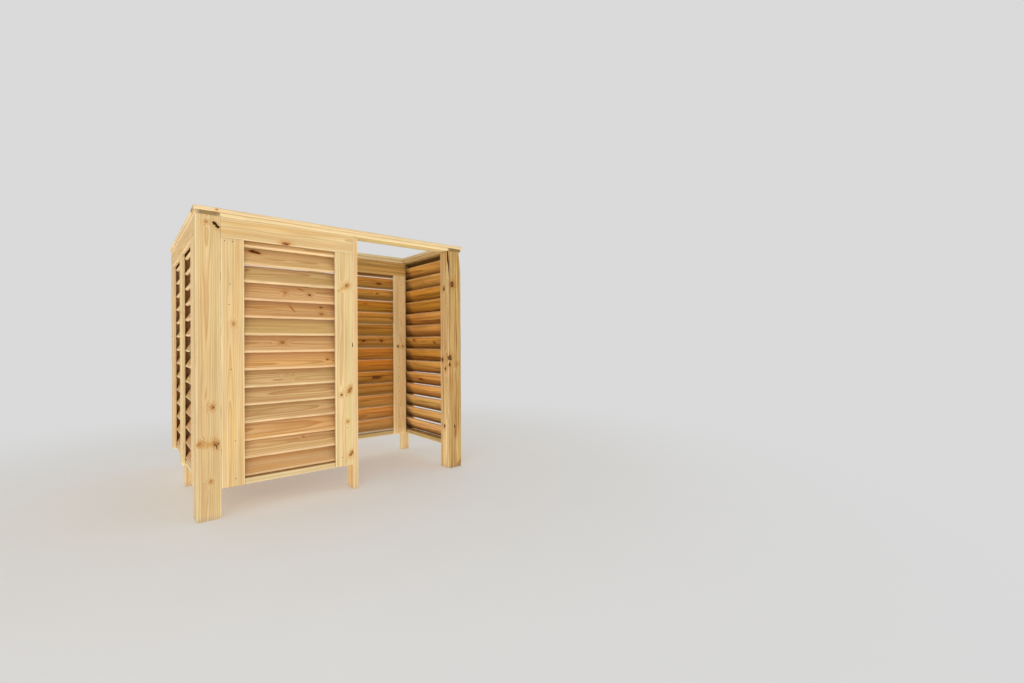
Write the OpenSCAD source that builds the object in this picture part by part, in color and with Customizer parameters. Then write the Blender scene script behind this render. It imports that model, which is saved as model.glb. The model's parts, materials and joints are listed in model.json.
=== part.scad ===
// Louvred pine changing stall: four louvred walls on timber posts, an open top, an open
// entrance at the front right, and the left wall carried on behind the back wall as a wing.
// The front faces -Y, the entrance is to +X, and the ground is at Z = 0.

/* [Overall] */
// Height of the posts, from the ground to the underside of the top plates
wall_h = 2035; // [1850:5:2300]
// Clear width of the louvred opening in the front wall
front_bay = 625; // [400:5:900]
// Clear width of the entrance
entrance_w = 865; // [700:5:1100]
// Depth from the front face to the face of the back wall
room_d = 880; // [650:5:1200]
// Clear length of the louvred opening in the wing
wing_bay = 620; // [300:5:900]
// Height of the gap under the walls
floor_gap = 200; // [100:5:300]

/* [Posts] */
// Side of the square posts
post_w = 140; // [130:1:160]
// Thickness of the entrance post and of the wing's end post, which are planks set on edge
end_post_t = 38; // [30:1:60]
// Width of the two back posts, planks set crosswise behind the boards of the side walls
back_post_w = 89; // [70:1:110]
// Thickness of the two back posts
back_post_t = 45; // [35:1:100]

/* [Boards] */
// Width of the upright face boards
stile_w = 140; // [100:1:180]
// Thickness of the face boards
stile_t = 25; // [19:1:45]
// Height of the top face board
rail_h = 140; // [90:1:180]
// Thickness of the bottom rail, which lies flat
bottom_rail_t = 38; // [25:1:50]
// Setback of the bottom rail from the face boards
bottom_rail_setback = 3; // [1:1:15]
// Thickness of the top plate
plate_t = 26; // [20:1:50]
// Thickness of the cap board
cap_t = 27; // [20:1:40]
// How far the cap stands out past the plate on each side
cap_overhang = 10; // [2:1:25]
// Radius of the eased edges of posts and bottom rails
edge_r = 3; // [1:0.5:6]
// Radius of the rounded edges of the face boards, plates and cap boards
deck_r = 5; // [3:0.5:9]

/* [Louvres] */
// Width of a slat
slat_w = 140; // [110:1:160]
// Thickness of a slat
slat_t = 25; // [20:1:32]
// Radius of the rounded edges of a slat
slat_r = 8; // [3:0.5:9]
// Tilt of the slats away from upright, lower edge outward
slat_tilt = 30; // [15:1:40]
// Height from one slat to the next
slat_pitch = 123.75; // [100:0.25:150]
// Gap between the bottom rail and the lowest slat
slat_lift = 6; // [4:1:40]
// The same gap in the back wall
back_slat_lift = 16; // [4:1:40]
// Least gap between the highest slat and the top plate
slat_headroom = 20; // [5:1:60]
// Clearance between the back wall's boards and the slats of the side walls
back_clear = 5; // [1:0.5:20]

/* [Hidden] */

$fn = 32;
// How far a cut runs past the faces that it opens
cut = 1;

post_color = "#e3c08c";
board_color = "#e6c592";
slat_color = "#dcb47a";

// Half the reach of a tilted slat, across the wall and upward
slat_half_depth = (slat_w / 2 - slat_r) * sin(slat_tilt) + (slat_t / 2 - slat_r) * cos(slat_tilt) + slat_r;
slat_half_rise = (slat_w / 2 - slat_r) * cos(slat_tilt) + (slat_t / 2 - slat_r) * sin(slat_tilt) + slat_r;

// From the face boards' outer face to the inner edges of the slats
louvre_d = stile_t + 2 * slat_half_depth;

// Heights
bottom_rail_top = floor_gap + bottom_rail_t;
most_slat_lift = max(slat_lift, back_slat_lift);
slat_room = wall_h - slat_headroom - bottom_rail_top - most_slat_lift - 2 * slat_half_rise;
slat_count = 1 + floor(slat_room / slat_pitch);
rail_z = wall_h - rail_h;
stile_h = rail_z - floor_gap;
cap_z = wall_h + plate_t;

// Places along the front, from the outer face of the left wall
front_stile_x = post_w + stile_w + front_bay;
entrance_post_x = front_stile_x + stile_w;
front_right_post_x = entrance_post_x + end_post_t + entrance_w;
total_w = front_right_post_x + post_w;

// Places in depth, from the front face. The right wall ends flush with its back post, at
// side_d, and the wing starts there
back_post_y = room_d + louvre_d;
side_d = back_post_y + back_post_t;
side_stile_y = side_d - stile_w;
wing_stile_y = side_d + wing_bay;
wing_end_post_y = wing_stile_y + stile_w;
total_d = wing_end_post_y + end_post_t;

// Places across the back wall, which stands between the slats of the side walls. Its bottom
// rail butts against theirs
back_rail_x0 = louvre_d;
back_rail_x1 = total_w - louvre_d;
back_x0 = back_rail_x0 + back_clear;
back_x1 = back_rail_x1 - back_clear;
back_middle_x = (back_x0 + back_x1 - stile_w) / 2;

module centred() {
    translate([-total_w / 2, -total_d / 2, 0]) children();
}

// Each wall is drawn with X along it, Y from its face into its thickness, and Z up
module in_front_wall() {
    centred() children();
}

module in_left_wall() {
    centred() mirror([1, -1, 0]) children();
}

module in_right_wall() {
    centred() translate([total_w, 0, 0]) rotate([0, 0, 90]) children();
}

module in_back_wall() {
    centred() translate([0, room_d, 0]) children();
}

module rounded_rect(w, h, r) {
    translate([r, 0]) square([w - 2 * r, h]);
    translate([0, r]) square([w, h - 2 * r]);
    for (x = [r, w - r], y = [r, h - r]) translate([x, y]) circle(r);
}

// A board that stands upright, with its long edges eased
module upright(x, y, z, w, d, h, r = edge_r) {
    translate([x, y, z]) linear_extrude(h) rounded_rect(w, d, r);
}

// A board that lies along the wall, with its long edges eased
module level(x, y, z, l, d, h, r = edge_r) {
    translate([x, y, z]) rotate([90, 0, 90]) linear_extrude(l) rounded_rect(d, h, r);
}

module stile(x) {
    color(board_color) upright(x, 0, floor_gap, stile_w, stile_t, stile_h, deck_r);
}

module top_rail(x0, x1) {
    color(board_color) level(x0, 0, rail_z, x1 - x0, stile_t, rail_h, deck_r);
}

// The bottom rail lies flat behind the face boards
module bottom_rail(x0, x1) {
    color(board_color)
        level(x0, stile_t, floor_gap, x1 - x0, louvre_d - stile_t, bottom_rail_t);
}

// The front wall's bottom rail comes forward in the louvred opening, from open0 to open1, and
// is notched round the stiles on both sides of it
module notched_bottom_rail(x0, x1, open0, open1) {
    color(board_color) difference() {
        level(x0, bottom_rail_setback, floor_gap, x1 - x0, louvre_d - bottom_rail_setback, bottom_rail_t);
        notch(x0 - cut, open0);
        notch(open1, x1 + cut);
    }
}

module notch(x0, x1) {
    translate([x0, -cut, floor_gap - cut]) cube([x1 - x0, stile_t + cut, bottom_rail_t + 2 * cut]);
}

module slats(x0, x1, lift = slat_lift) {
    color(slat_color) for (i = [0 : slat_count - 1])
        translate([x0, stile_t + slat_half_depth, bottom_rail_top + lift + slat_half_rise + i * slat_pitch])
            rotate([90, 0, 90]) linear_extrude(x1 - x0) rotate(-slat_tilt)
                translate([-slat_t / 2, -slat_w / 2]) rounded_rect(slat_t, slat_w, slat_r);
}

module plate(x0, x1) {
    color(board_color) level(x0, 0, wall_h, x1 - x0, post_w, plate_t, deck_r);
}

module cap(x0, x1) {
    color(board_color)
        level(x0, -cap_overhang, cap_z, x1 - x0, post_w + 2 * cap_overhang, cap_t, deck_r);
}

module square_post(x, y) {
    color(post_color) centred() upright(x, y, 0, post_w, post_w, wall_h);
}

module back_post(x) {
    color(post_color) centred() upright(x, back_post_y, 0, back_post_w, back_post_t, wall_h);
}

module front_left_post() { square_post(0, 0); }
module front_right_post() { square_post(front_right_post_x, 0); }
module back_left_post() { back_post(stile_t); }
module back_right_post() { back_post(total_w - stile_t - back_post_w); }
module entrance_post() {
    color(post_color) centred() upright(entrance_post_x, 0, 0, end_post_t, post_w, wall_h);
}
module wing_end_post() {
    color(post_color) centred()
        upright(0, wing_end_post_y, floor_gap, post_w, end_post_t, wall_h - floor_gap);
}

module front_top_rail() { in_front_wall() top_rail(post_w, entrance_post_x); }
module front_bottom_rail() {
    in_front_wall() notched_bottom_rail(post_w, entrance_post_x, post_w + stile_w, front_stile_x);
}
module front_left_stile() { in_front_wall() stile(post_w); }
module front_right_stile() { in_front_wall() stile(front_stile_x); }
module front_slats() { in_front_wall() slats(post_w, entrance_post_x); }

module left_top_rail() { in_left_wall() top_rail(post_w, wing_end_post_y); }
module left_bottom_rail() { in_left_wall() bottom_rail(post_w, back_post_y); }
module left_front_stile() { in_left_wall() stile(post_w); }
module left_middle_stile() { in_left_wall() stile(side_stile_y); }
module left_slats() { in_left_wall() slats(post_w, back_post_y); }
module wing_bottom_rail() { in_left_wall() bottom_rail(side_d, wing_end_post_y); }
module wing_end_stile() { in_left_wall() stile(wing_stile_y); }
module wing_slats() { in_left_wall() slats(side_d, wing_end_post_y); }

module right_top_rail() { in_right_wall() top_rail(post_w, side_d); }
module right_bottom_rail() { in_right_wall() bottom_rail(post_w, back_post_y); }
module right_front_stile() { in_right_wall() stile(post_w); }
module right_back_stile() { in_right_wall() stile(side_stile_y); }
module right_slats() { in_right_wall() slats(post_w, back_post_y); }

module back_top_rail() { in_back_wall() top_rail(back_x0, back_x1); }
module back_bottom_rail() { in_back_wall() bottom_rail(back_rail_x0, back_rail_x1); }
module back_left_stile() { in_back_wall() stile(back_x0); }
module back_middle_stile() { in_back_wall() stile(back_middle_x); }
module back_right_stile() { in_back_wall() stile(back_x1 - stile_w); }
module back_slats() { in_back_wall() slats(back_x0, back_x1, back_slat_lift); }

module front_plate() { in_front_wall() plate(post_w, total_w - post_w); }
module left_plate() { in_left_wall() plate(0, total_d); }
module right_plate() { in_right_wall() plate(0, side_d); }
module back_plate() { in_back_wall() plate(post_w, total_w - post_w); }

module front_cap() { in_front_wall() cap(-cap_overhang, total_w + cap_overhang); }
module left_cap() { in_left_wall() cap(post_w + cap_overhang, total_d + cap_overhang); }
module right_cap() { in_right_wall() cap(post_w + cap_overhang, side_d + cap_overhang); }
module back_cap() {
    in_back_wall() cap(post_w + cap_overhang, total_w - post_w - cap_overhang);
}

front_left_post();
entrance_post();
front_right_post();
back_left_post();
back_right_post();
wing_end_post();
front_top_rail();
front_bottom_rail();
front_left_stile();
front_right_stile();
front_slats();
left_top_rail();
left_bottom_rail();
left_front_stile();
left_middle_stile();
left_slats();
wing_bottom_rail();
wing_end_stile();
wing_slats();
right_top_rail();
right_bottom_rail();
right_front_stile();
right_back_stile();
right_slats();
back_top_rail();
back_bottom_rail();
back_left_stile();
back_middle_stile();
back_right_stile();
back_slats();
front_plate();
left_plate();
right_plate();
back_plate();
front_cap();
left_cap();
right_cap();
back_cap();
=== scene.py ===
# The looks of a louvred pine changing stall: every post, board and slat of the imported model
# is drawn again as a piece of timber with worn edges, grain, knots and nails
import json
import math
import zlib

import bpy
import numpy as np
from mathutils import Matrix, Vector


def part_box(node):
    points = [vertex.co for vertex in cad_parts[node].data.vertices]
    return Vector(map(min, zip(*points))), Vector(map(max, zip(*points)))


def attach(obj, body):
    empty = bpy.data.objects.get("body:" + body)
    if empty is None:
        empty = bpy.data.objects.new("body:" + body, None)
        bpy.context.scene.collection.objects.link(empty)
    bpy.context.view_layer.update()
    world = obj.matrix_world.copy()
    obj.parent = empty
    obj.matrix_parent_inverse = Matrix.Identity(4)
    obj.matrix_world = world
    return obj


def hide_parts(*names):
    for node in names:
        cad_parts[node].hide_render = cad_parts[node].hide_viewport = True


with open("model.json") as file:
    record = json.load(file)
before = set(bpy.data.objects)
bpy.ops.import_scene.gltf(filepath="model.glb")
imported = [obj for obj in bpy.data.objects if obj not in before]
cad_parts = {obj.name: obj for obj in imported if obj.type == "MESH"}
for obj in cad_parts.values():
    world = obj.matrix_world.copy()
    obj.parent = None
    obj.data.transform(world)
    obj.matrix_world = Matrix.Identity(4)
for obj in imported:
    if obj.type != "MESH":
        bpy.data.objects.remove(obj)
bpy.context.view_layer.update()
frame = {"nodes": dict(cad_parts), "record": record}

# Radius of the long edges: posts and bottom rails, boards 25 mm thick, slats
EASED, DECK_ROUND, SLAT_ROUND = 0.003, 0.005, 0.008
# Distance between the rings of a board's mesh along it, and between the lines across its faces
SPACING = (0.022, 0.014)
# The same on the two front posts, which have a crack, a split knot and a worn foot
FINE_SPACING = (0.008, 0.005)
FINE_NODES = ("front_left_post", "front_right_post")
# Segments of a rounded edge, and how far a saw-cut end is eased
ARC_SEGMENTS, END_EASE = 4, 0.0008
# Depth of the wear along the edges, and of the waves left in the faces by the planer
EDGE_WEAR, FACE_WAVE = 0.0011, 0.0002
# How many waves make up the wear and the faces, and the shortest and longest of them
WEAR_WAVES, FACE_WAVES = (5, 0.03, 0.4), (4, 0.15, 0.8)
# How far from a long edge a point still counts as near it
EDGE_REACH = 0.012
# Nicks in the edges: how many a metre, half their length, their depth, and how far round the edge
NICKS_A_METRE, NICK_LENGTH, NICK_DEPTH, NICK_ROUND = 2.5, (0.006, 0.02), (0.0008, 0.0028), 0.006
# Half the length over which a notch's step is drawn, and a place past any board's end
NOTCH_SLANT, PAST_END = 0.00005, 9.0
# How far a slat lies above or below its even place
SLAT_STRAY = 0.0006
# The log that the boards were sawn from: how long it is, and how far it leans from a board in a
# metre
LOG_LENGTH, LOG_LEAN = 40, 0.012
# Where the log's heart lies: near the middle of a post thicker than this, and how near, or else
# how far to a side of a board's middle and over or under it
BOXED_FROM, BOXED_HEART = 0.1, 0.03
HEART_ASIDE, HEART_UNDER = 0.045, (0.022, 0.095)
# Corners of a board's cross-section, across its width and through its thickness
CORNERS = ((1, 1), (-1, 1), (-1, -1), (1, -1))

# Nail heads: their radius, how far they stand out of the board and go into it, and their sides
NAIL_RADIUS, NAIL_RISE, NAIL_SUNK, NAIL_SIDES = 0.0036, 0.0005, 0.0015, 10
# Shares of the radius and the rise at which a head's dome starts and ends
DOME_STARTS, DOME_ENDS = (1.0, 0.4), (0.75, 1.0)
# How far a nail sits to either side of a stile's middle, and over a slat's lower edge
NAIL_ASIDE, NAIL_OVER = 0.022, (0.004, 0.03)
# The two nails at a stile's head: how far under its end and from its middle
HEAD_NAIL_UNDER, HEAD_NAIL_ASIDE = (0.016, 0.03), (0.02, 0.045)
# Least distance between a random nail and one that shows in the photograph
NAIL_GAP = 0.07
# Share of the slats whose nail shows on a stile
USUAL_NAILED_SHARE = 0.7
NAILED_SHARE = {"front_left_stile": 0.15, "front_right_stile": 0.2, "back_right_stile": 0.9}

# Camera: where it stands, from the front left post's outer corner on the ground, its turns in
# degrees, and its lens
CAMERA_FROM_CORNER = (-0.3744, -3.5949, 1.1768)
CAMERA_YAW, CAMERA_PITCH_DOWN, CAMERA_ROLL = 40.844, -0.080, -0.294
LENS_MM, SENSOR_MM = 15.944, 36.0

# Colours, as sRGB: pale early wood and darker late wood
PINE = {
    "post_wood": ((228, 203, 150), (202, 164, 108)),
    "board_wood": ((228, 205, 152), (204, 171, 116)),
    "slat_wood": ((227, 191, 136), (192, 144, 88)),
}
# What turns a board olive, leaves it tan, or turns it pink or orange
TINTS = ((0.94, 0.96, 0.82), (1.0, 1.0, 1.0), (1.0, 0.9, 0.86), (1.0, 0.85, 0.66))
OLIVE, TAN, PINK, ORANGE = 0.0, 0.33, 0.66, 1.0
# Painted shade: boards inside the stall are deepened towards this orange-brown
INNER_SHADE_PINE = (230, 199, 104)
# Pale edges: part wear, part painted highlight
WORN_EDGE_AND_HIGHLIGHT = (248, 228, 186)
# Knots and scars: sound and dead hearts, and what tints the wood round them
KNOT_CORE, KNOT_RING, KNOT_HALO = (196, 140, 84), (122, 76, 38), (236, 206, 162)
DEAD_CORE, DEAD_RIM = (134, 84, 44), (36, 18, 8)
STAIN_BROWN, SCAR_BROWN = (240, 220, 180), (206, 152, 110)
SPLIT_DARK, FOOT_DUST = (14, 8, 4), (150, 140, 126)
NAIL_STEEL, NAIL_DARK = (112, 104, 96), (66, 50, 38)
FLOOR_PALE, FLOOR_SPECKLE = (222, 221, 218), (206, 204, 200)

# Light: how bright the backdrop looks, what the sky and the floor give the timber, and how much
# paler than its colour the floor looks
BACKDROP, SKY, FLOOR_BOUNCE, FLOOR_LIFT = 0.7, 0.68, 1.45, 0.14
# Floor: half its side, how far it lies under the feet, and where it fades into the backdrop
FLOOR_HALF, FLOOR_UNDER, FADE = 60, 0.0005, (1.8, 5.2)

# Growth rings: from one to the next, how late the wood is through each, how far slow noise and a
# knot push them aside, and how fast a knot's push falls off
RING_WIDTH = {"post_wood": 0.0078, "board_wood": 0.0070, "slat_wood": 0.0066}
LATE_STOPS = ((0.0, 0.0), (0.4, 0.12), (0.78, 0.8), (0.92, 1.0), (1.0, 0.05))
RING_BEND, KNOT_PUSH, PUSH_FALL = 0.026, 0.018, 0.2
# How fine the noise in the wood is, along the grain and both ways across it
BEND, FIBRE, STREAK = (1.3, 7.0, 7.0), (4.0, 300.0, 300.0), (1.0, 36.0, 36.0)
BAND, PATCH, TORN = (0.7, 26.0, 26.0), (2.2, 9.0, 9.0), (1.6, 90.0, 90.0)
# Where the noise of the bands is taken from, so that they don't follow the streaks
BAND_FROM = (7, 3, 5)

# Knots lie in cells of the wood: how many there are in a metre, how that is scaled along and
# across the grain, and the least and greatest radius of a knot in its cell
KNOT_CELLS, CELL_SCALE, KNOT_RADII = 8.0, (0.8, 1, 1), (0.035, 0.095)
# Share of the cells that hold a knot, on boards without and with marks of their own, and the
# share of those knots that are dead
KNOT_SHARE, SEEN_KNOT_SHARE, DEAD_SHARE = 0.5, 0.12, 0.4
# A reach that stands for no knot or mark near, in radii, and what shortens a dead knot's reach, so
# that it shows a little larger
FAR_OFF, DEAD_REACH = 50.0, 0.82
# How tight a knot's own rings are, and how dark a dead knot is from its middle to its rim
KNOT_RINGS = 13.0
RIM_STOPS = ((0.0, 0.7), (0.16, 0.15), (0.32, 0.3), (0.46, 1.0), (0.6, 0.0))
MARK_KINDS = ("knot", "dead", "stain", "scar", "split")

# How dark splits and cracks are, and how deep, against the relief of the grain
GAP_DARK, GAP_DEPTH = 0.97, 3.0
# The crack in the front right post: the height of its foot, where across and up the front it
# starts to lean, how high it is widest, and its top
CRACK_FOOT, CRACK_LEANS, CRACK_WIDEST, CRACK_TOP = 1.05, (1.959, 1.78), 1.94, (1.946, 2.035)
# Between which heights it widens, and half its width below and above them
CRACK_WIDENS, CRACK_HALVES = (1.75, 1.935), (0.0014, 0.0042)
# How far it wanders, and half the width of its soft rim
CRACK_WANDER, CRACK_RIM = 0.008, 0.0008
# The groove cut for it: from the post's left side, half its width, its depth, and how far from
# the front face it may reach
GROOVE_AT, GROOVE_HALF, GROOVE_DEPTH, FRONT_SKIN = 0.0035, 0.0035, 0.005, 0.02
# The wane at that post's head: some heights, and how far the corner is cut back there
WANE_HEIGHTS, WANE_CUTS = (1.80, 1.93, 2.035), (0, 0.016, 0.03)
# The chip at its foot: its height, half length and depth
CHIP_AT, CHIP_HALF, CHIP_DEPTH = 0.02, 0.03, 0.012
# The hollow of the front left post's split knot: its middle and direction, half length, half
# width and depth
HOLLOW_AT, HOLLOW_RUN = (0.115, 0, 1.978), (0.75, 0, -0.66)
HOLLOW_LENGTH, HOLLOW_WIDTH, HOLLOW_DEPTH = 0.022, 0.0075, 0.005

# Painted shade on boards inside the stall: how far their colour is deepened towards orange-brown,
# as wood lit only by light bounced off the wood round it
INNER_SHADE_WARMTH = {
    "right_slats": 0.85, "back_slats": 0.85, "back_top_rail": 0.75, "right_plate": 0.5,
    "back_bottom_rail": 0.4, "right_bottom_rail": 0.4,
}
# How much paler or darker than most some boards are in the photograph: on the back right stile
# this is painted light, on the back and right bottom rails painted shade
SEEN_TONES_AND_SHADES = {
    "back_right_stile": 1.14, "front_right_stile": 0.97, "front_left_post": 0.97,
    "back_bottom_rail": 0.84, "right_bottom_rail": 0.8,
}
# How much boards of one kind differ: in the warmth of their painted shade, tint and tone
WARMTH_STRAY, TINT_RANGE, TONE_RANGE = 0.14, (0.1, 0.75), (0.92, 1.06)
# The front right post: painted shade on its front and painted light at its sides. How deep the
# front's painted shade goes, its warmth and tone, and the sides' tone
FRONT_DEPTH, FRONT_SHADE_WARMTH, FRONT_SHADE_TONE, SIDE_LIGHT_TONE = 0.002, 0.4, 0.88, 1.08
# Boards seen from inside the stall: over what depth the painted shade on their inner side fades in
INNER_FADE = 0.006
# Painted shade on slats seen from inside: shares of the way up a slat and the tone there, dark at
# the lower edge and painted light near the upper edge; and shares near the upper edge and the
# warmth there, which thins the painted shade
SLAT_RISES, SLAT_SHADES = (0.0, 0.3, 0.7, 1.0), (0.32, 0.9, 1.32, 1.42)
LIP_RISES, LIP_WARMTHS = (0.85, 1.0), (1.0, 0.6)
# How warm the painted shade on slats is by height, less near the ground where more light falls, and
# how the right wall's slats get painted shade towards the back wall, by their places before it
LOW_HEIGHTS, LOW_WARMTHS = (0.3, 1.0), (0.65, 1.0)
CORNER_PLACES, CORNER_SHADES = (-0.09, -0.01), (1.0, 0.5)
# Painted shade on a top rail's back: how much darker than its front it is, and how warm
RAIL_SHADE, RAIL_WARMTH = 0.6, 0.85

# The material slot of each CAD node, and the pine made so far, by node or slot
SLOT_OF = {p["node"]: p["material_slot"] for p in frame["record"]["subparts"]}
MATERIALS = {}


def linear(rgb):
    """An sRGB colour of 0 to 255 as the linear colour that a shader takes."""
    parts = [c / 255 for c in rgb]
    return [c / 12.92 if c <= 0.04045 else ((c + 0.055) / 1.055) ** 2.4 for c in parts]


def grey(v):
    return (v, v, v)


def seed_of(name):
    return np.random.RandomState(zlib.crc32(name.encode()) % (2**31))


def front_corner():
    """The front left post's outer corner on the ground, from which the photograph was measured."""
    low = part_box("front_left_post")[0]
    return Vector((low.x, low.y, 0))


# Marks that show in the photograph, by node: kind, place in metres from the front left post's outer
# corner on the ground, direction, half length and half width
MARKS = {
    "front_left_post": (
        ("split", (0.110, 0, 1.981), (0.75, 0, -0.66), 0.018, 0.0110),
        ("split", (0.124, 0, 1.963), (1, 0, -0.3), 0.015, 0.0100),
        ("stain", (0.118, 0, 1.968), (0.5, 0, -0.86), 0.042, 0.024),
        ("knot", (0.060, 0, 1.985), (0, 0, 1), 0.010, 0.008),
        ("knot", (0.090, 0, 0.754), (0, 0, 1), 0.015, 0.012),
        ("dead", (0.095, 0, 0.751), (0.3, 0, 1), 0.0065, 0.0050),
        ("knot", (0.016, 0, 0.518), (0.7, 0, 0.7), 0.015, 0.010),
        ("knot", (0.111, 0, 0.505), (0.6, 0, -0.8), 0.021, 0.015),
        ("stain", (0.058, 0, 0.506), (1, 0, 0), 0.055, 0.024),
        ("split", (0.113, 0, 0.486), (0.2, 0, -0.98), 0.018, 0.0030),
        ("split", (0.102, 0, 0.500), (0.6, 0, -0.8), 0.011, 0.0026),
        ("split", (0.122, 0, 0.502), (-0.5, 0, -0.86), 0.011, 0.0026),
        ("knot", (0.081, 0, 0.260), (0, 0, 1), 0.009, 0.007),
    ),
    "front_left_stile": (
        ("knot", (0.215, 0, 1.312), (0, 0, 1), 0.013, 0.007),
    ),
    "front_top_rail": (
        ("knot", (0.547, 0, 1.906), (1, 0, 0), 0.026, 0.012),
        ("scar", (0.547, 0, 1.906), (1, 0, 0), 0.028, 0.011),
        ("split", (0.552, 0, 1.899), (1, 0, 0), 0.014, 0.0032),
    ),
    "front_right_stile": (
        ("stain", (0.962, 0, 1.606), (0.82, 0, 0.57), 0.044, 0.014),
        ("knot", (0.997, 0, 1.634), (0.75, 0, 0.66), 0.019, 0.014),
        ("split", (0.993, 0, 1.640), (0.9, 0, 0.4), 0.011, 0.0024),
        ("stain", (1.022, 0, 0.815), (0.4, 0, 0.9), 0.040, 0.018),
        ("knot", (1.014, 0, 0.796), (0.6, 0, 0.8), 0.021, 0.015),
        ("split", (1.024, 0, 0.812), (0.3, 0, 0.95), 0.013, 0.0026),
        ("split", (1.008, 0, 0.786), (0.9, 0, 0.4), 0.008, 0.0024),
        ("dead", (0.951, 0, 0.767), (0, 0, 1), 0.008, 0.006),
        ("knot", (0.999, 0, 0.551), (0, 0, 1), 0.011, 0.009),
        ("stain", (1.028, 0, 0.300), (0.6, 0, 0.8), 0.034, 0.016),
        ("knot", (1.028, 0, 0.291), (0.6, 0, 0.8), 0.022, 0.012),
        ("split", (1.020, 0, 0.282), (0.9, 0, 0.4), 0.012, 0.0028),
        ("split", (1.034, 0, 0.305), (0.3, 0, 0.95), 0.009, 0.0024),
        ("split", (1.041, 0, 1.160), (0, 0, 1), 0.016, 0.005),
    ),
    "front_slats": (
        ("dead", (0.350, 0.078, 1.838), (1, 0, -0.15), 0.018, 0.010),
        ("dead", (0.378, 0.076, 1.828), (1, 0, -0.3), 0.013, 0.008),
        ("scar", (0.362, 0.077, 1.834), (1, 0, -0.2), 0.042, 0.017),
        ("scar", (0.672, 0.076, 1.585), (0.9, -0.2, -0.37), 0.026, 0.007),
        ("dead", (0.728, 0.054, 1.547), (1, 0, 0), 0.010, 0.006),
        ("knot", (0.557, 0.057, 1.551), (1, 0, 0), 0.011, 0.008),
        ("scar", (0.603, 0.064, 1.440), (0.48, -0.44, -0.76), 0.038, 0.008),
        ("knot", (0.812, 0.043, 1.404), (1, 0, 0), 0.014, 0.009),
        ("dead", (0.812, 0.043, 1.404), (1, 0, 0), 0.008, 0.006),
        ("dead", (0.818, 0.072, 1.454), (1, 0, 0), 0.008, 0.005),
        ("knot", (0.536, 0.059, 1.184), (1, 0, 0), 0.016, 0.010),
        ("dead", (0.536, 0.059, 1.184), (1, 0, 0), 0.009, 0.0065),
        ("dead", (0.860, 0.053, 1.049), (1, 0, 0), 0.007, 0.005),
    ),
    "front_right_post": (
        ("dead", (1.993, 0, 1.724), (0, 0, 1), 0.021, 0.015),
        ("dead", (1.964, 0, 1.034), (0, 0, 1), 0.020, 0.016),
        ("dead", (1.961, 0, 0.969), (0, 0, 1), 0.013, 0.009),
        ("knot", (2.039, 0, 0.970), (0, 0, 1), 0.016, 0.012),
        ("split", (2.014, 0, 0.386), (0, 0, 1), 0.019, 0.006),
        ("scar", (2.022, 0, 0.330), (0, 0, 1), 0.055, 0.010),
        ("scar", (2.062, 0, 0.020), (0.5, 0, 0.86), 0.050, 0.026),
        ("dead", (1.948, 0.074, 1.685), (0, 0, 1), 0.015, 0.010),
        ("dead", (1.948, 0.103, 1.014), (0, 0, 1), 0.016, 0.013),
        ("dead", (1.948, 0.053, 0.928), (0, 0, 1), 0.012, 0.009),
        ("dead", (1.948, 0.074, 0.386), (0, 0, 1), 0.013, 0.010),
    ),
    "back_right_stile": (
        ("dead", (1.879, 0.88, 1.138), (0, 0, 1), 0.010, 0.008),
        ("knot", (1.938, 0.88, 1.138), (0, 0, 1), 0.012, 0.010),
    ),
    "back_slats": (
        ("dead", (1.687, 0.931, 1.798), (1, 0, 0), 0.021, 0.011),
        ("scar", (1.550, 0.949, 1.582), (1, 0, 0), 0.026, 0.009),
        ("dead", (1.526, 0.941, 1.197), (1, 0, 0), 0.015, 0.009),
        ("dead", (1.720, 0.941, 1.198), (1, 0, 0), 0.013, 0.010),
        ("dead", (1.662, 0.934, 0.814), (1, 0, 0), 0.042, 0.012),
        ("dead", (1.676, 0.944, 1.697), (1, 0, 0), 0.008, 0.006),
    ),
    "right_slats": (
        ("dead", (2.004, 0.345, 1.177), (0, 1, 0), 0.013, 0.010),
        ("dead", (1.988, 0.729, 1.204), (0, 1, 0), 0.017, 0.009),
        ("dead", (2.010, 0.625, 0.795), (0, 1, 0), 0.030, 0.010),
    ),
}

# How the slats of the front and back walls differ in colour, from the lowest up
SLAT_TINTS = {
    "front_slats": (PINK, TAN, ORANGE, TAN, TAN, TAN, ORANGE, PINK, OLIVE, ORANGE, PINK, OLIVE, TAN, TAN),
    "back_slats": (TAN, PINK, TAN, TAN, TAN, ORANGE, ORANGE, TAN, OLIVE, OLIVE, TAN, OLIVE, TAN, TAN),
}

# Nails that show in the photograph, as places across and up a wall's face
SEEN_NAILS = {
    "front_left_stile": ((0.164, 1.875), (0.211, 1.874), (0.195, 1.583), (0.188, 1.443)),
    "front_right_stile": ((0.927, 1.590),),
    "back_right_stile": (
        (1.920, 1.797), (1.896, 1.421), (1.879, 1.139), (1.893, 0.913),
        (1.893, 0.810), (1.892, 0.656), (1.891, 0.386),
    ),
}


# Boards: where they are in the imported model


def solids_of(node):
    """The corner points of each separate solid of a CAD node, from the lowest solid up."""
    mesh = frame["nodes"][node].data
    index_of, index_at = {}, []
    for vertex in mesh.vertices:
        point = tuple(round(c, 5) for c in vertex.co)
        index_at.append(index_of.setdefault(point, len(index_of)))
    owner = list(range(len(index_of)))

    def root(i):
        while owner[i] != i:
            owner[i] = owner[owner[i]]
            i = owner[i]
        return i

    for polygon in mesh.polygons:
        first = root(index_at[polygon.vertices[0]])
        for v in polygon.vertices[1:]:
            owner[root(index_at[v])] = first
    groups = {}
    for point, i in index_of.items():
        groups.setdefault(root(i), []).append(point)
    return sorted((np.array(points) for points in groups.values()), key=lambda solid: solid[:, 2].min())


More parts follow.
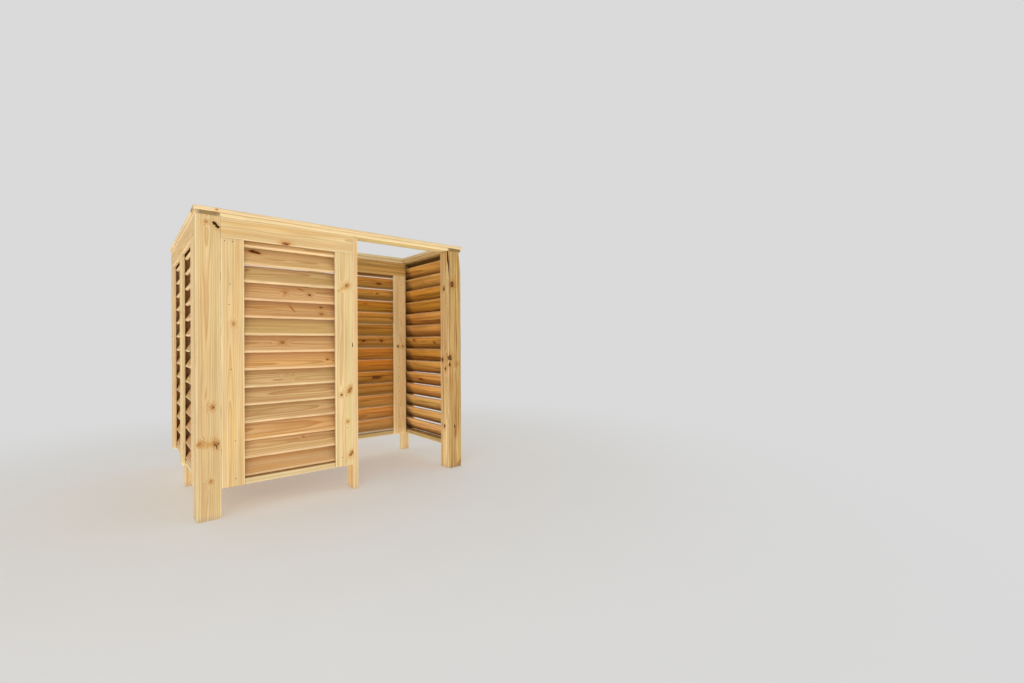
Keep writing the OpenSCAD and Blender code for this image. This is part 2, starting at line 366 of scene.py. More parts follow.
def board_frame(points):
    """A board's middle, axes and size: along the grain, across its width, through its thickness."""
    low, high = points.min(0), points.max(0)
    centre = (low + high) / 2
    along = int(np.argmax(high - low))
    others = [axis for axis in range(3) if axis != along]
    flat = points[:, others] - centre[others]
    turns = np.linalg.eigh(flat.T @ flat)[1]
    axes = np.zeros((3, 3))
    axes[0, along] = 1
    axes[1, others] = turns[:, 1]
    if axes[1, others[1]] < 0:
        axes[1] *= -1
    axes[2] = np.cross(axes[0], axes[1])
    local = (points - centre) @ axes.T
    return centre, axes, local.max(0) - local.min(0)


def box_frame(node):
    """The same for a post or board that lies along the axes."""
    low, high = (np.array(corner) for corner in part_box(node))
    size = high - low
    order = np.argsort(-size, kind="stable")
    axes = np.zeros((3, 3))
    axes[0, order[0]] = axes[1, order[1]] = 1
    axes[2] = np.cross(axes[0], axes[1])
    return (low + high) / 2, axes, size[order]


# Boards: their meshes


def steps(length, step):
    """Even places from one end of a length to the other, about a step apart."""
    count = max(1, round(length / step))
    return [length * (i / count - 0.5) for i in range(count + 1)]


def stations(length, step, notches):
    """Where a board's rings are along it: even places, its ends and both sides of a notch's step."""
    inner = length - 2 * END_EASE
    cuts = [at + side * NOTCH_SLANT for notch in notches for at in notch[:2] for side in (-1, 1)]
    places = steps(inner, step) + [cut for cut in cuts if abs(cut) < inner / 2]
    return np.array([-length / 2] + sorted(places) + [length / 2])


def ring_profile(width, thickness, radius, step):
    """Points round a board's cross-section, with how near each is to a long edge."""
    arcs = []
    for i, (side, face) in enumerate(CORNERS):
        middle = np.array((side * (width / 2 - radius), face * (thickness / 2 - radius)))
        turns = [math.radians(90 * (i + k / ARC_SEGMENTS)) for k in range(ARC_SEGMENTS + 1)]
        arcs.append([middle + radius * np.array((math.cos(turn), math.sin(turn))) for turn in turns])
    points = []
    for arc, following in zip(arcs, arcs[1:] + arcs[:1]):
        points += [(*point, 1.0) for point in arc]
        way = following[0] - arc[-1]
        run = np.hypot(*way)
        for at in steps(run, step)[1:-1]:
            share = at / run + 0.5
            near = min(share, 1 - share) * run
            points.append((*(arc[-1] + way * share), max(0.0, 1 - near / EDGE_REACH)))
    return np.array(points)


def tube_faces(first, rings, count):
    """The faces of a closed tube whose rings of points start at first: its sides, then its ends."""
    faces = []
    for r in range(rings - 1):
        for k in range(count):
            a, b = first + r * count + k, first + r * count + (k + 1) % count
            faces.append((a, b, b + count, a + count))
    last = first + (rings - 1) * count
    faces.append(tuple(first + k for k in reversed(range(count))))
    faces.append(tuple(last + k for k in range(count)))
    return faces


def mesh_of(name, points, faces):
    mesh = bpy.data.meshes.new(name)
    mesh.from_pydata([tuple(p) for p in points], [], faces)
    return mesh


def placed(mesh, material):
    """An object of a mesh and a material, in the scene."""
    mesh.materials.append(material)
    mesh.validate()
    piece = bpy.data.objects.new(mesh.name, mesh)
    bpy.context.scene.collection.objects.link(piece)
    return piece


def waves(rng, t, count, shortest, longest):
    """A smooth random line over t, from about -1 to 1."""
    total = np.zeros_like(t)
    for _ in range(count):
        span = rng.uniform(shortest, longest)
        total += np.sin(2 * np.pi * (t / span + rng.rand()))
    return total / count


def worn_by(rng, x, profile, size):
    """How far in each point lies from the sawn shape: eased ends, worn edges, nicks and waves."""
    length, width, thickness = size
    ease = np.where(np.abs(x) > length / 2 - END_EASE / 2, END_EASE, 0.0)
    wear = np.clip(waves(rng, x, *WEAR_WAVES), 0, 1) * EDGE_WEAR * 2
    inward = ease[:, None] + wear[:, None] * (profile[None, :, 2] >= 1)
    for _ in range(rng.poisson(length * NICKS_A_METRE)):
        at = rng.uniform(-length / 2, length / 2)
        side, face = CORNERS[rng.randint(4)]
        reach, depth = rng.uniform(*NICK_LENGTH), rng.uniform(*NICK_DEPTH)
        gap = np.hypot(profile[:, 0] - side * width / 2, profile[:, 1] - face * thickness / 2)
        along = np.exp(-(((x - at) / reach) ** 2))
        inward += depth * along[:, None] * np.exp(-((gap / NICK_ROUND) ** 2))
    return inward + (1 + waves(rng, x, *FACE_WAVES)[:, None]) * FACE_WAVE


def in_log(rng, local, heart):
    """A board's points as places in the log that it was sawn from, round the log's heart."""
    lean = rng.uniform(-LOG_LEAN, LOG_LEAN, 2)
    place = local - np.array([0, *heart])
    place[:, 1:] += local[:, :1] * lean
    place[:, 0] += rng.uniform(0, LOG_LENGTH)
    return place


class Timber:
    """Boards gathered into one mesh, with each point's place in the wood as attributes."""

    def __init__(self, name):
        self.name = name
        self.points, self.faces, self.smooth, self.grain = [], [], [], []
        self.values = {"tone": [], "tint": [], "warm": [], "edge": [], "end": []}

    def add(self, rng, board, radius, spacing, look, heart, notches, paint_shade):
        """Adds a board: its frame, edges, mesh spacing, look, the log's heart, cuts and painted shade."""
        centre, axes, size = board
        ring_step, across_step = spacing
        profile = ring_profile(size[1], size[2], radius, across_step)
        x = stations(size[0], ring_step, notches)
        rings, count = len(x), len(profile)
        inward = worn_by(rng, x, profile, size)
        y, z = (np.tile(profile[:, axis], (rings, 1)) for axis in (0, 1))
        span = np.hypot(y, z)
        y, z = y - inward * y / span, z - inward * z / span
        for start, stop, side, limit in notches:
            cut = ((x > start) & (x < stop))[:, None]
            y = np.where(cut & (side * y > limit), side * limit, y)
        local = np.stack([np.tile(x[:, None], (1, count)), y, z], axis=2).reshape(-1, 3)
        faces = tube_faces(sum(len(points) for points in self.points), rings, count)
        self.faces += faces
        self.smooth += [True] * (len(faces) - 2) + [False, False]
        self.points.append(centre + local @ axes)
        self.grain.append(in_log(rng, local, heart))
        for name, value in zip(("tone", "tint", "warm"), look):
            self.values[name].append(np.full(len(local), value))
        if paint_shade:
            paint_shade(self.points[-1], self.points[-1] - centre, axes, self.values)
        self.values["edge"].append(np.tile(profile[:, 2], rings))
        self.values["end"].append(np.repeat((np.abs(x) >= size[0] / 2).astype(float), count))

    def build(self, material, node, carve):
        """The mesh as a piece that replaces a CAD node, its points moved by carve if there is one."""
        points = np.concatenate(self.points)
        if carve:
            points = carve(points)
        mesh = mesh_of(self.name, points, self.faces)
        mesh.polygons.foreach_set("use_smooth", self.smooth)
        grain = mesh.attributes.new("grain", "FLOAT_VECTOR", "POINT")
        grain.data.foreach_set("vector", np.concatenate(self.grain).astype(np.float32).ravel())
        for name, values in self.values.items():
            layer = mesh.attributes.new(name, "FLOAT", "POINT")
            layer.data.foreach_set("value", np.concatenate(values).astype(np.float32))
        piece = placed(mesh, material)
        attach(piece, "root")
        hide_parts(node)


# Materials


def grey_stops(stops):
    """A ramp's stops from places and brightnesses."""
    return [(at, grey(v)) for at, v in stops]


class Shader:
    """The node tree of a material or the world, with short ways to add and join nodes."""

    def __init__(self, owner):
        self.owner = owner
        owner.use_nodes = True
        self.tree = owner.node_tree
        self.tree.nodes.clear()

    def add(self, kind, inputs=None, **settings):
        node = self.tree.nodes.new(kind)
        for key, value in settings.items():
            setattr(node, key, value)
        for key, value in (inputs or {}).items():
            self.put(node.inputs[key], value)
        return node

    def put(self, socket, value):
        if isinstance(value, bpy.types.NodeSocket):
            self.tree.links.new(value, socket)
        elif isinstance(value, (tuple, list)) and socket.type == "RGBA":
            socket.default_value = (*value[:3], 1.0)
        else:
            socket.default_value = value

    def attribute(self, name, output="Fac"):
        return self.add("ShaderNodeAttribute", attribute_name=name).outputs[output]

    def object_place(self):
        return self.add("ShaderNodeTexCoord").outputs["Object"]

    def math(self, operation, a, b=0.0):
        return self.add("ShaderNodeMath", {0: a, 1: b}, operation=operation).outputs[0]

    def plus(self, a, b):
        return self.math("ADD", a, b)

    def minus(self, a, b):
        return self.math("SUBTRACT", a, b)

    def times(self, a, b):
        return self.math("MULTIPLY", a, b)

    def nearest(self, reaches):
        """The least of some reaches, or a far one where there is none."""
        least = FAR_OFF
        for reach in reaches:
            least = self.math("MINIMUM", least, reach)
        return least

    def vector(self, operation, a, b=(0, 0, 0), output="Vector"):
        return self.add("ShaderNodeVectorMath", {0: a, 1: b}, operation=operation).outputs[output]

    def scaled(self, vector, factors):
        return self.vector("MULTIPLY", vector, factors)

    def parts(self, vector):
        return self.add("ShaderNodeSeparateXYZ", {"Vector": vector}).outputs

    def mapped(self, value, low, high, to_low=0.0, to_high=1.0, smooth=True):
        """A value's place between low and high, as a number between to_low and to_high."""
        settings = {"Value": value, "From Min": low, "From Max": high, "To Min": to_low, "To Max": to_high}
        kind = "SMOOTHSTEP" if smooth else "LINEAR"
        return self.add("ShaderNodeMapRange", settings, interpolation_type=kind).outputs[0]

    def noise(self, vector, scale=1.0, detail=2.0, roughness=0.5, output="Fac"):
        settings = {"Vector": vector, "Scale": scale, "Detail": detail, "Roughness": roughness}
        return self.add("ShaderNodeTexNoise", settings).outputs[output]

    def mix(self, factor, a, b, blend="MIX"):
        node = self.add("ShaderNodeMix", data_type="RGBA", blend_type=blend)
        self.put(node.inputs["Factor"], factor)
        self.put(node.inputs[6], a)
        self.put(node.inputs[7], b)
        return node.outputs[2]

    def tinted(self, factor, colour, tint):
        """A colour, multiplied as far as the factor says by an sRGB tint."""
        return self.mix(factor, colour, self.mix(1.0, colour, linear(tint), "MULTIPLY"))

    def ramp(self, factor, stops):
        """The colour at a factor, between stops that are each a place and a colour."""
        node = self.add("ShaderNodeValToRGB", {"Fac": factor})
        ramp = node.color_ramp
        while len(ramp.elements) < len(stops):
            ramp.elements.new(0.5)
        for element, (place, colour) in zip(ramp.elements, stops):
            element.position = place
            element.color = (*colour, 1.0)
        return node.outputs[0]

    def seen(self):
        """1 where the camera, or a reflection that it sees, meets the surface, and 0 for soft light."""
        rays = self.add("ShaderNodeLightPath").outputs
        mirrored = self.math("MAXIMUM", rays["Is Glossy Ray"], rays["Is Transmission Ray"])
        return self.math("MAXIMUM", rays["Is Camera Ray"], mirrored)

    def glow(self, brightness, strength=1.0):
        return self.add("ShaderNodeEmission", {"Color": grey(brightness), "Strength": strength}).outputs[0]

    def blend(self, factor, a, b):
        return self.add("ShaderNodeMixShader", {0: factor, 1: a, 2: b}).outputs[0]

    def surface(self, colour, rough, relief, own):
        """The lit surface, with the bump node's settings and values of the surface's own sockets."""
        bump = self.add("ShaderNodeBump", relief).outputs[0]
        inputs = {"Base Color": colour, "Roughness": rough, "Normal": bump, **own}
        lit = self.add("ShaderNodeBsdfPrincipled", inputs)
        self.add("ShaderNodeOutputMaterial", {"Surface": lit.outputs[0]})


class Pine(Shader):
    """Sawn pine in three dimensions, with the marks that show on a node."""

    def __init__(self, name, slot, node):
        super().__init__(bpy.data.materials.new(name))
        self.place, self.grain = self.object_place(), self.attribute("grain", "Vector")
        # How deep the painted shade inside the stall is
        self.warm = self.attribute("warm")
        self.fibre = self.noise(self.scaled(self.grain, FIBRE), detail=3.0, roughness=0.65)
        self.streak = self.noise(self.scaled(self.grain, STREAK), detail=3.0, roughness=0.6)
        rags = self.noise(self.place, scale=110.0, detail=3.0)
        self.ragged = self.mapped(rags, 0.25, 0.75, 0.62, 1.4, smooth=False)
        self.marks = {kind: [] for kind in MARK_KINDS}
        for kind, *mark in MARKS.get(node, ()):
            self.marks[kind].append(self.mark_reach(*mark))
        # How far knots are, where they are dead, their own rings, and how far inside one a point is
        self.knot, self.dead = self.knots()
        self.is_dead = self.mapped(self.minus(self.dead, self.knot), 0.0, 0.3, 1.0, 0.0)
        self.whorl = self.math("SINE", self.times(self.knot, KNOT_RINGS))
        inside = self.mapped(self.knot, 0.8, 1.25, 1.0, 0.0)
        self.inside = self.times(inside, self.mapped(self.is_dead, 0.0, 1.0, 0.8, 1.0))
        self.latewood = self.growth_rings(RING_WIDTH[slot])
        self.gaps = self.open_wood(node)
        colour = self.with_scars(self.with_knots(self.wood_colour(slot)))
        colour = self.with_dust(self.with_gaps(colour))
        if node == "front_right_post":
            colour = self.with_torn_grain(colour)
        relief = {"Height": self.relief(), "Strength": 0.5, "Distance": 0.0008}
        self.surface(colour, self.roughness(), relief, {"Specular IOR Level": 0.12})

    def mark_reach(self, at, direction, half_length, half_width):
        """How far a point is from a long mark's middle, as a share of the way to the mark's rim."""
        run = Vector(direction).normalized()
        gap = self.vector("SUBTRACT", self.place, tuple(front_corner() + Vector(at)))
        along = self.vector("DOT_PRODUCT", gap, tuple(run), output="Value")
        whole = self.math("DIVIDE", self.vector("DOT_PRODUCT", gap, gap, output="Value"), half_width**2)
        spare = 1 / half_width**2 - 1 / half_length**2
        rest = self.minus(whole, self.times(self.times(along, along), spare))
        return self.math("SQRT", self.math("MAXIMUM", rest, 0.0))

    def knots(self):
        """How far a point is from the nearest knot and the nearest dead one, in their radii."""
        inputs = {"Vector": self.scaled(self.grain, CELL_SCALE), "Scale": KNOT_CELLS}
        cells = self.add("ShaderNodeTexVoronoi", inputs).outputs
        chance = self.add("ShaderNodeSeparateColor", {"Color": cells["Color"]}).outputs
        radius = self.mapped(chance[0], 0.0, 1.0, *KNOT_RADII, smooth=False)
        share = SEEN_KNOT_SHARE if any(self.marks.values()) else KNOT_SHARE
        wild = self.kept(self.math("DIVIDE", cells["Distance"], radius), chance[1], share)
        wild_dead = self.kept(wild, chance[2], DEAD_SHARE)
        sound = self.times(self.nearest([wild] + self.marks["knot"]), self.ragged)
        dead = self.nearest([wild_dead] + self.marks["dead"])
        dead = self.times(dead, self.times(self.ragged, DEAD_REACH))
        return self.math("MINIMUM", sound, dead), dead

    def kept(self, reach, chance, share):
        """Keeps the knots in a share of the cells, and puts the others too far off to show."""
        return self.plus(reach, self.times(self.math("GREATER_THAN", chance, share), FAR_OFF))

    def growth_rings(self, width):
        """How late the wood is, in rings round the log's heart that bend and go round the knots."""
        slow = self.noise(self.scaled(self.grain, BEND), output="Color")
        bent = self.vector("ADD", self.grain, self.scaled(slow, (0.0, RING_BEND, RING_BEND)))
        reach = self.vector("LENGTH", self.scaled(bent, (0, 1, 1)), output="Value")
        push = self.math("POWER", math.e, self.times(self.times(self.knot, self.knot), -PUSH_FALL))
        reach = self.plus(reach, self.times(push, KNOT_PUSH))
        ring = self.math("FRACT", self.math("DIVIDE", reach, width))
        return self.ramp(ring, grey_stops(LATE_STOPS))

    def wood_colour(self, slot):
        """Early and late wood, streaked along the grain, tinted and shaded, with painted shade inside the
        stall, and paler at the edges, partly from wear and partly as a painted highlight.
        """
        early, late = (linear(c) for c in PINE[slot])
        colour = self.mix(self.times(self.latewood, 0.9), early, late)
        colour = self.mix(self.mapped(self.streak, 0.42, 0.75, 0.0, 0.65), colour, late)
        band = self.noise(self.vector("ADD", self.scaled(self.grain, BAND), BAND_FROM))
        shift = self.mapped(band, 0.3, 0.7, -0.3, 0.3, smooth=False)
        stops = [(i / (len(TINTS) - 1), tint) for i, tint in enumerate(TINTS)]
        tint = self.ramp(self.plus(self.attribute("tint"), shift), stops)
        colour = self.mix(1.0, colour, tint, "MULTIPLY")
        colour = self.add("ShaderNodeHueSaturation", {"Value": self.shade(), "Color": colour}).outputs[0]
        # Painted shade inside the stall: the colour deepens towards orange-brown
        colour = self.tinted(self.warm, colour, INNER_SHADE_PINE)
        # Pale edges: part wear, part painted highlight, left off where there is painted shade
        fibres = self.mapped(self.fibre, 0.35, 0.65, 0.2, 0.5)
        worn = self.times(self.mapped(self.attribute("edge"), 0.6, 1.0), fibres)
        return self.mix(self.times(worn, self.minus(1.0, self.warm)), colour, linear(WORN_EDGE_AND_HIGHLIGHT))

    def shade(self):
        """How bright the wood is: its fibres, patches, tone with painted shade and light, deeper streaks
        where there is painted shade, and darker end grain.
        """
        shade = self.mapped(self.fibre, 0.3, 0.7, 0.92, 1.05, smooth=False)
        patch = self.noise(self.scaled(self.grain, PATCH))
        shade = self.times(shade, self.mapped(patch, 0.3, 0.7, 0.93, 1.04, smooth=False))
        # The board's tone, which also carries the painted shade and painted light set on the boards
        shade = self.times(shade, self.attribute("tone"))
        deep = self.times(self.warm, self.mapped(self.streak, 0.42, 0.68, 0.0, 0.42))
        shade = self.times(shade, self.minus(1.0, deep))
        return self.times(shade, self.mapped(self.attribute("end"), 0.0, 1.0, 1.0, 0.4, smooth=False))

    def with_knots(self, colour):
        """Sound knots are soft and orange-brown, dead ones dark with a black rim, and both have a halo."""
        ring = self.mapped(self.whorl, -1.0, 1.0, 0.1, 0.75)
        sound = self.mix(ring, linear(KNOT_CORE), linear(KNOT_RING))
        rim = self.ramp(self.mapped(self.knot, 0.0, 2.0, smooth=False), grey_stops(RIM_STOPS))
        core = self.mix(self.is_dead, sound, self.mix(rim, linear(DEAD_CORE), linear(DEAD_RIM)))
        streaks = self.mapped(self.streak, 0.3, 0.7, 0.45, 0.85)
        halo = self.times(self.mapped(self.knot, 0.9, 3.4, 1.0, 0.0), streaks)
        return self.mix(self.inside, self.tinted(halo, colour, KNOT_HALO), core)

    def with_scars(self, colour):
        """Pitch streaks and scars are brown."""
        for kind, brown in (("stain", STAIN_BROWN), ("scar", SCAR_BROWN)):
            if self.marks[kind]:
                reach = self.times(self.nearest(self.marks[kind]), self.ragged)
                colour = self.tinted(self.mapped(reach, 0.3, 1.5, 0.8, 0.0), colour, brown)
        return colour

    def open_wood(self, node):
        """Where the wood is open: the splits in its knots, and the front right post's crack."""
        gaps = []
        if self.marks["split"]:
            reach = self.times(self.nearest(self.marks["split"]), self.ragged)
            gaps.append(self.mapped(reach, 0.75, 1.1, 1.0, 0.0))
        if node == "front_right_post":
            gaps.append(self.crack())
        return gaps

    def crack(self):
        """Where the drying crack is that runs down the front right post beside its corner."""
        x, y, z = self.parts(self.vector("SUBTRACT", self.place, tuple(front_corner())))
        (lean_x, lean_z), (top_x, top_z) = CRACK_LEANS, CRACK_TOP
        line = self.mapped(z, lean_z, top_z, lean_x, top_x, smooth=False)
        wander = self.minus(self.noise(self.scaled(self.place, (0, 0, 1)), scale=9.0), 0.5)
        off = self.minus(self.plus(x, self.times(wander, CRACK_WANDER)), line)
        half = self.mapped(z, *CRACK_WIDENS, *CRACK_HALVES)
        off = self.minus(self.math("ABSOLUTE", off), half)
        reached = self.math("GREATER_THAN", z, CRACK_FOOT)
        reached = self.times(reached, self.math("LESS_THAN", y, FRONT_SKIN))
        return self.times(self.mapped(off, -CRACK_RIM, CRACK_RIM, 1.0, 0.0), reached)

    def with_gaps(self, colour):
        """Open wood is nearly black."""
        for gap in self.gaps:
            colour = self.mix(self.times(gap, GAP_DARK), colour, linear(SPLIT_DARK))
        return colour

    def with_dust(self, colour):
        """The feet have picked up a little dust."""
        uneven = self.times(self.noise(self.place, scale=24.0, detail=3.0), 0.05)
        height = self.plus(self.parts(self.place)[2], uneven)
        return self.mix(self.mapped(height, 0.02, 0.07, 0.4, 0.0), colour, linear(FOOT_DUST))

    def with_torn_grain(self, colour):
        """Brown shreds where the surface has weathered along the grain."""
        shreds = self.noise(self.scaled(self.grain, TORN), detail=3.0, roughness=0.6)
        return self.tinted(self.mapped(shreds, 0.45, 0.66, 0.0, 0.85), colour, SCAR_BROWN)

    def roughness(self):
        late = self.mapped(self.latewood, 0.0, 1.0, 0.7, 0.58)
        return self.plus(late, self.mapped(self.fibre, 0.3, 0.7, -0.05, 0.06))

    def relief(self):
        """Late wood and fibres stand up, and knots and open wood lie deeper."""
        relief = self.plus(self.times(self.latewood, 0.5), self.times(self.fibre, 0.6))
        whorl = self.mapped(self.whorl, -1.0, 1.0, 0.2, 0.9)
        relief = self.minus(relief, self.times(self.inside, whorl))
        for gap in self.gaps:
            relief = self.minus(relief, self.times(gap, GAP_DEPTH))
        return relief


def pine_of(node):
    """The pine of a CAD node: its own where it has marks, or else one for each slot."""
    key = node if node in MARKS else SLOT_OF[node]
    if key not in MATERIALS:
        MATERIALS[key] = Pine(key + "_pine", SLOT_OF[node], node).owner
    return MATERIALS[key]


def nail_steel():
    """Dull steel with darker spots."""
    s = Shader(bpy.data.materials.new("nail_steel"))
    spots = s.noise(s.object_place(), scale=420.0, detail=3.0)
    colour = s.mix(s.mapped(spots, 0.4, 0.7), linear(NAIL_STEEL), linear(NAIL_DARK))
    relief = {"Height": spots, "Strength": 0.3, "Distance": 0.0002}
    s.surface(colour, s.mapped(spots, 0.3, 0.7, 0.45, 0.7), relief, {"Metallic": 0.6})
    return s.owner


# The pieces


def heart_of(rng, boxed):
    """Where the log's heart lies from a board's middle: inside a post, beside a board."""
    if boxed:
        return rng.uniform(-BOXED_HEART, BOXED_HEART, 2)
    return rng.uniform(-HEART_ASIDE, HEART_ASIDE), rng.choice([-1, 1]) * rng.uniform(*HEART_UNDER)


def radius_of(node):
    if node.endswith("_slats"):
        return SLAT_ROUND
    return EASED if node.endswith(("_post", "_bottom_rail")) else DECK_ROUND


def look_of(rng, node, i):
    """The tone, with any painted shade or light, the tint and the painted shade's warmth of a node's
    board, where i counts its boards from the lowest up.
    """
    warm = INNER_SHADE_WARMTH.get(node, 0.0)
    warm += rng.uniform(-WARMTH_STRAY, WARMTH_STRAY) * (warm > 0)
    tints = SLAT_TINTS.get(node)
    tint = tints[i % len(tints)] if tints else rng.uniform(*TINT_RANGE)
    tone = rng.uniform(*TONE_RANGE) * SEEN_TONES_AND_SHADES.get(node, 1.0)
    return tone, float(np.clip(tint, 0.05, 0.95)), float(np.clip(warm, 0, 1))


def notches_of(node, centre, axes):
    """Where a bottom rail is cut back round the stiles: from and to along it, side and depth."""
    if node != "front_bottom_rail":
        return ()
    left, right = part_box("front_left_stile"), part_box("front_right_stile")
    depth = left[1].y - centre[1]
    side = 1 if axes[1, 1] * depth > 0 else -1
    spans = ((-PAST_END, left[1].x - centre[0]), (right[0].x - centre[0], PAST_END))
    return [(*sorted((a * axes[0, 0], b * axes[0, 0])), side, abs(depth)) for a, b in spans]


def carve_left_post(points):
    """The hollow of the split knot near the front left post's head."""
    gap = points - np.array(front_corner()) - HOLLOW_AT
    along = gap @ np.array(HOLLOW_RUN)
    off = np.sqrt(np.maximum((gap**2).sum(1) - along**2, 0))
    points[:, 1] += HOLLOW_DEPTH * np.exp(-((along / HOLLOW_LENGTH) ** 2) - (off / HOLLOW_WIDTH) ** 2)
    return points


def carve_right_post(points):
    """The front right post: its crack, the wane at its head and the chip at its foot."""
    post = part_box("front_right_post")
    from_left, from_right = points[:, 0] - post[0].x, points[:, 0] - post[1].x
    depth, height = (points - np.array(front_corner())).T[1:]
    opening = np.interp(height, (CRACK_LEANS[1], CRACK_WIDEST, CRACK_TOP[1]), (0, 1, 0.5))
    near = np.exp(-(((from_left - GROOVE_AT) / GROOVE_HALF) ** 2)) * (depth < FRONT_SKIN)
    points[:, 1] += GROOVE_DEPTH * opening * near
    wane = np.interp(height, WANE_HEIGHTS, WANE_CUTS)
    cut = wane + CHIP_DEPTH * np.exp(-(((height - CHIP_AT) / CHIP_HALF) ** 2))
    over = np.clip(from_right - depth + cut, 0, None)
    points[:, 0] -= over / 2
    points[:, 1] += over / 2
    return points


def inner_side(local, axes):
    """Which points of a back or right wall's board lie on its side towards the stall's middle."""
    thin = axes[2] * (-1 if axes[2, 0] + axes[2, 1] > 0 else 1)
    return np.clip((local @ thin) / INNER_FADE, 0, 1)


def paint_front_shade(points, local, axes, values):
    """Painted shade on a post's front, browner and darker there, and painted light on its sides."""
    front = points[:, 1] < points[:, 1].min() + FRONT_DEPTH
    values["warm"][-1] = np.where(front, FRONT_SHADE_WARMTH, values["warm"][-1])
    values["tone"][-1] = np.where(front, FRONT_SHADE_TONE, SIDE_LIGHT_TONE)


def paint_inner_slat_shade(points, local, axes, values):
    """Painted shade on a slat seen from inside: deeper in colour, darker at its lower edge and in the
    corner, with less of it near its upper edge and on slats near the ground.
    """
    inner = inner_side(local, axes)
    rise = (local[:, 2] - local[:, 2].min()) / np.ptp(local[:, 2])
    tone = np.interp(rise, SLAT_RISES, SLAT_SHADES)
    if axes[0, 1]:
        from_back_wall = points[:, 1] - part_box("back_right_stile")[0].y
        tone *= np.interp(from_back_wall, CORNER_PLACES, CORNER_SHADES)
    values["tone"][-1] *= 1 + (tone - 1) * inner
    low = np.interp(points[:, 2].mean(), LOW_HEIGHTS, LOW_WARMTHS)
    values["warm"][-1] *= np.interp(rise, LIP_RISES, LIP_WARMTHS) * inner * low


def paint_rail_back_shade(points, local, axes, values):
    """Painted shade on the back of a top rail, which is seen through the slit over the uppermost slat."""
    inner = inner_side(local, axes)
    values["tone"][-1] *= 1 - RAIL_SHADE * inner
    values["warm"][-1] = RAIL_WARMTH * inner


# Painted shade, and on the front right post's sides painted light, by node
PAINTED_SHADES = {
    "front_right_post": paint_front_shade, "right_slats": paint_inner_slat_shade, "back_slats": paint_inner_slat_shade,
    "right_top_rail": paint_rail_back_shade,
}
CARVES = {"front_left_post": carve_left_post, "front_right_post": carve_right_post}


def make_timber(node):
    """A CAD node's boards as timber: slats one by one, and any other node as one post or board."""
    rng = seed_of(node)
    slats = node.endswith("_slats")
    spacing = FINE_SPACING if node in FINE_NODES else SPACING
    timber = Timber(node + "_timber")
    boards = [board_frame(points) for points in solids_of(node)] if slats else [box_frame(node)]
    for i, (centre, axes, size) in enumerate(boards):
        look = look_of(rng, node, i)
        heart = heart_of(rng, node.endswith("_post") and size[2] > BOXED_FROM)
        if slats:
            centre = centre + (0, 0, rng.uniform(-1, 1) * SLAT_STRAY)
        notches, paint_shade = notches_of(node, centre, axes), PAINTED_SHADES.get(node)
        timber.add(rng, (centre, axes, size), radius_of(node), spacing, look, heart, notches, paint_shade)
    timber.build(pine_of(node), node, CARVES.get(node))


def wall_of(node):
    """The way a wall faces, from the stile's name: the outward direction and the way along it."""
    if node.startswith(("left", "wing")):
        return Vector((-1, 0, 0)), Vector((0, -1, 0))
    if node.startswith("right"):
        return Vector((1, 0, 0)), Vector((0, 1, 0))
    return Vector((0, -1, 0)), Vector((1, 0, 0))


def nails_of(node, out, along):
    """Places of the nail heads on a stile's face: one a slat, off the middle as a hand sets them."""
    rng = seed_of(node + "_nails")
    low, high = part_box(node)
    face = (low + high) / 2 + out * abs((high - low).dot(out)) / 2
    corner = front_corner()
    seen = [Vector((corner.x + x, face.y, z)) for x, z in SEEN_NAILS.get(node, ())]
    places, share = list(seen), NAILED_SHARE.get(node, USUAL_NAILED_SHARE)
    for slat in solids_of(node.split("_")[0] + "_slats"):
        aside, over = rng.uniform(-NAIL_ASIDE, NAIL_ASIDE), rng.uniform(*NAIL_OVER)
        spot = Vector((*face.xy, slat[:, 2].min() + over)) + along * aside
        if rng.rand() < share and all((spot - place).length > NAIL_GAP for place in seen):
            places.append(spot)
    if not seen:
        for side in (-1, 1):
            head = Vector((*face.xy, high.z - rng.uniform(*HEAD_NAIL_UNDER)))
            places.append(head + along * side * rng.uniform(*HEAD_NAIL_ASIDE))
    return places


def make_nails():
    """The flat heads of the nails through the stiles, sunk flush, each a little domed."""
    points, faces = [], []
    rings = [(1.0, -NAIL_SUNK)] + [(share, NAIL_RISE * rise) for share, rise in (DOME_STARTS, DOME_ENDS)]
    upward = Vector((0, 0, 1))
    for node in sorted(n for n in frame["nodes"] if n.endswith("_stile")):
        out, along = wall_of(node)
        for place in nails_of(node, out, along):
            faces += tube_faces(len(points), len(rings), NAIL_SIDES)
            for share, rise in rings:
                for k in range(NAIL_SIDES):
                    turn = 2 * math.pi * k / NAIL_SIDES
                    spoke = out.cross(upward) * math.cos(turn) + upward * math.sin(turn)
                    points.append(place + spoke * NAIL_RADIUS * share + out * rise)
    piece = placed(mesh_of("nail_heads", points, faces), nail_steel())
    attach(piece, "root")


for node_name in sorted(frame["nodes"]):
    make_timber(node_name)
make_nails()


# Camera, floor and lights


def place_camera():
    """The camera at the photograph's viewpoint."""
    data = bpy.data.cameras.new("camera")
    data.sensor_width = SENSOR_MM
    data.lens = LENS_MM
    camera = bpy.data.objects.new("camera", data)
    yaw, pitch, roll = (math.radians(a) for a in (CAMERA_YAW, CAMERA_PITCH_DOWN, CAMERA_ROLL))
    ahead = Vector((math.sin(yaw) * math.cos(pitch), math.cos(yaw) * math.cos(pitch), -math.sin(pitch)))
    right = Vector((math.cos(yaw), -math.sin(yaw), 0))
    up = right.cross(ahead)
    tilted = right * math.cos(roll) + up * math.sin(roll)
    upright = up * math.cos(roll) - right * math.sin(roll)
    turn = Matrix((tilted, upright, -ahead)).transposed()
    camera.matrix_world = Matrix.Translation(front_corner() + Vector(CAMERA_FROM_CORNER)) @ turn.to_4x4()
    bpy.context.scene.collection.objects.link(camera)
    bpy.context.scene.camera = camera


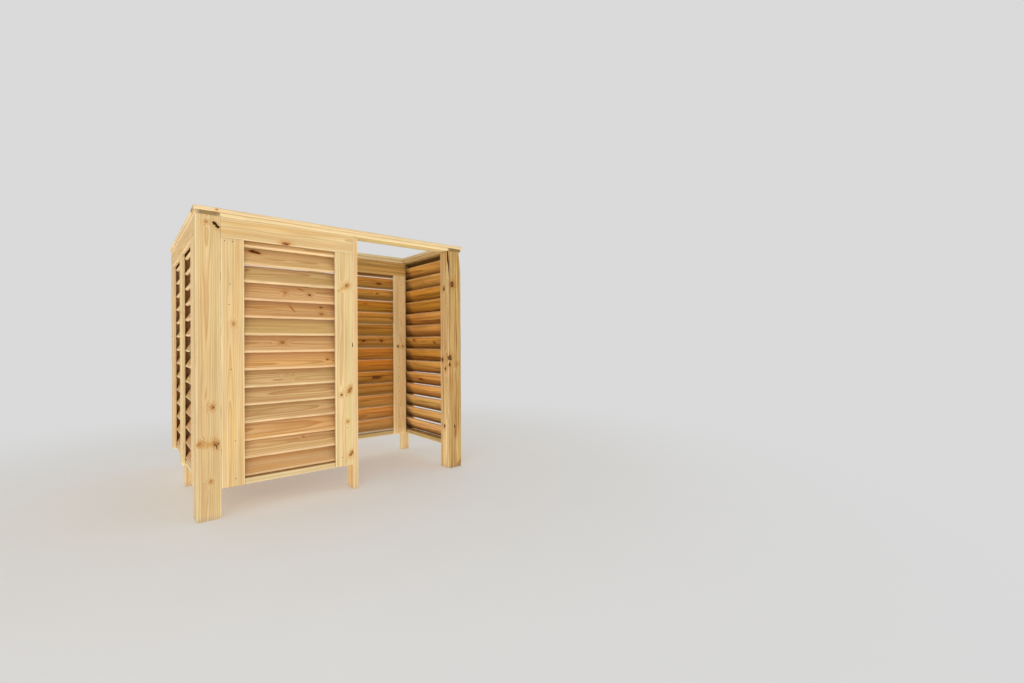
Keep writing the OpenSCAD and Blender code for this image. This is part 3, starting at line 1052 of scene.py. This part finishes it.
def make_floor():
    """A pale floor that fades into the backdrop's colour far from the stall."""
    s = Shader(bpy.data.materials.new("floor_pale"))
    place = s.object_place()
    far = s.mapped(s.vector("LENGTH", place, output="Value"), *FADE)
    speckle = s.mapped(s.noise(place, 3.0, 4.0), 0.3, 0.7, 0.0, 0.06)
    colour = s.mix(speckle, linear(FLOOR_PALE), linear(FLOOR_SPECKLE))
    matt = s.add("ShaderNodeBsdfDiffuse", {"Color": colour}).outputs[0]
    near = s.add("ShaderNodeAddShader", {0: matt, 1: s.glow(1.0, FLOOR_LIFT)}).outputs[0]
    view = s.blend(far, near, s.glow(BACKDROP))
    # What the timber sees of the floor is brighter, as a floor in the sun would be
    seen = s.blend(s.seen(), s.glow(1.0, FLOOR_BOUNCE), view)
    s.add("ShaderNodeOutputMaterial", {"Surface": seen})
    corners = [(x * FLOOR_HALF, y * FLOOR_HALF, 0) for x, y in ((-1, -1), (1, -1), (1, 1), (-1, 1))]
    floor = placed(mesh_of("floor", corners, [(0, 1, 2, 3)]), s.owner)
    floor.location.z = -FLOOR_UNDER


def make_world():
    """Soft sky light from all round, seen as the backdrop."""
    s = Shader(bpy.data.worlds.new("studio"))
    soft = s.add("ShaderNodeBackground", {"Color": grey(1.0), "Strength": SKY}).outputs[0]
    pale = s.add("ShaderNodeBackground", {"Color": grey(BACKDROP), "Strength": 1.0}).outputs[0]
    s.add("ShaderNodeOutputWorld", {"Surface": s.blend(s.seen(), soft, pale)})
    bpy.context.scene.world = s.owner


def add_lamp(name, place, aim, size, power):
    """A round lamp at a place, turned to what it aims at."""
    data = bpy.data.lights.new(name, "AREA")
    data.shape = "DISK"
    data.size = size
    data.energy = power
    lamp = bpy.data.objects.new(name, data)
    lamp.location = place
    lamp.rotation_euler = (Vector(aim) - Vector(place)).to_track_quat("-Z", "Y").to_euler()
    bpy.context.scene.collection.objects.link(lamp)


place_camera()
make_floor()
make_world()
add_lamp("key", place=(-3.2, -5.2, 1.6), aim=(0.2, -0.3, 1.0), size=3.0, power=40)
bpy.context.scene.view_settings.view_transform = "Standard"
